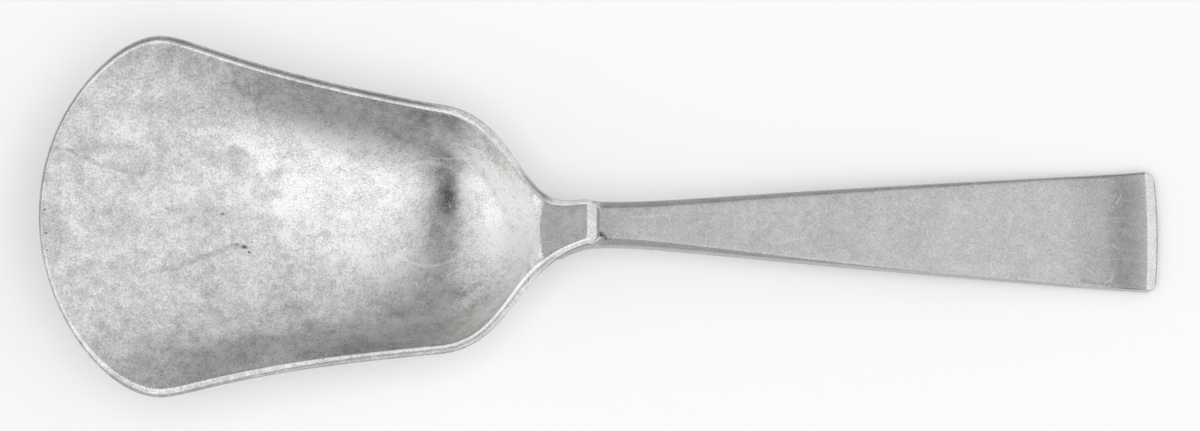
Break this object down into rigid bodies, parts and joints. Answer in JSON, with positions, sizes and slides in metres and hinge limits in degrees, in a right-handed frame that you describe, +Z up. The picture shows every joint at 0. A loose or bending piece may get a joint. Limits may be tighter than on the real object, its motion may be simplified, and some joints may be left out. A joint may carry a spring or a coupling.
{
  "type": "bonbon spoon",
  "caption": "Small serving spoon with a broad scoop bowl, a narrow tongue soldered over the neck and a plain tapered handle with an upturned end.",
  "frame": {"origin": "middle of the bounding box at the table plane the spoon rests on", "axes": "+X from the bowl's tip to the handle's end, +Z up from the table"},
  "size_m": [0.117, 0.0382, 0.0106],
  "materials": {
    "bowl_silver": "worn satin silver",
    "handle_silver": "worn satin silver",
    "hard_solder": "tarnished hard solder"
  },
  "bodies": {
    "root": {"bowl": "bowl_silver", "handle": "handle_silver", "solder_seam": "hard_solder"}
  },
  "joints": []
}
